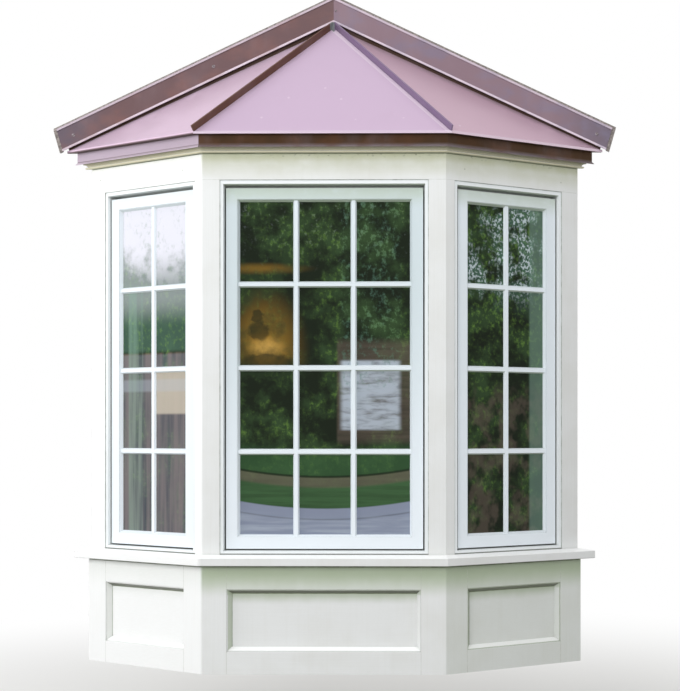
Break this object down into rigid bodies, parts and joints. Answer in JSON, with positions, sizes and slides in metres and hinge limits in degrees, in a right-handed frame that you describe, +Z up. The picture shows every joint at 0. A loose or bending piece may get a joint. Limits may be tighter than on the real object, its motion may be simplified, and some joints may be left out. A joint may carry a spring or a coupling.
{
  "type": "canted bay window",
  "caption": "Three-sided hanging bay window with a panelled apron, sill, divided-light sashes, cornice and folded metal hip roof, for a flat outside wall.",
  "frame": {"origin": "middle of the back face of the ledger under the seat, on the wall's outside face", "axes": "+X along the wall, to the right seen from outside; +Y into the wall; +Z up"},
  "size_m": [2.1846, 0.3467, 2.5784],
  "materials": {
    "bare_timber": "planed softwood framing, unpainted",
    "fascia_metal": "folded copper sheet weathered to a dark brown",
    "flashing_metal": "folded copper sheet weathered to a mauve-brown",
    "glazing": "clear sealed glass unit",
    "plywood": "sanded softwood plywood",
    "roof_metal": "folded copper sheet with a lilac-brown weathered skin",
    "sash_paint": "softwood sash in cool white gloss paint",
    "sealant": "grey wall sealant",
    "trim_paint": "softwood boards in weathered cream-white gloss paint"
  },
  "bodies": {
    "root": {"apron_mouldings": "trim_paint", "apron_panel_front": "trim_paint", "apron_panel_left": "trim_paint", "apron_panel_right": "trim_paint", "apron_rails": "trim_paint", "apron_stiles_front": "trim_paint", "apron_stiles_left": "trim_paint", "apron_stiles_right": "trim_paint", "casing_front": "trim_paint", "casing_left": "trim_paint", "casing_right": "trim_paint", "cornice_front": "trim_paint", "cornice_left": "trim_paint", "cornice_right": "trim_paint", "eave_plate": "fascia_metal", "fascia_flashing_front": "fascia_metal", "fascia_flashing_left": "fascia_metal", "fascia_flashing_right": "fascia_metal", "frieze_front": "trim_paint", "frieze_left": "trim_paint", "frieze_right": "trim_paint", "glass": "glazing", "grilles": "sash_paint", "head_board": "plywood", "hip_seams": "flashing_metal", "ledgers": "bare_timber", "posts": "bare_timber", "rafter_frame": "bare_timber", "rake_flashing_left": "flashing_metal", "rake_flashing_right": "flashing_metal", "roof_deck": "plywood", "roof_pan_front": "roof_metal", "roof_pan_left": "roof_metal", "roof_pan_right": "roof_metal", "sash_front": "sash_paint", "sash_left": "sash_paint", "sash_right": "sash_paint", "seat_board": "plywood", "sill_front": "trim_paint", "sill_left": "trim_paint", "sill_right": "trim_paint", "soffit_board": "plywood", "wall_sealant": "sealant", "wall_upstands": "flashing_metal", "window_frame_front": "trim_paint", "window_frame_left": "trim_paint", "window_frame_right": "trim_paint"}
  },
  "joints": []
}
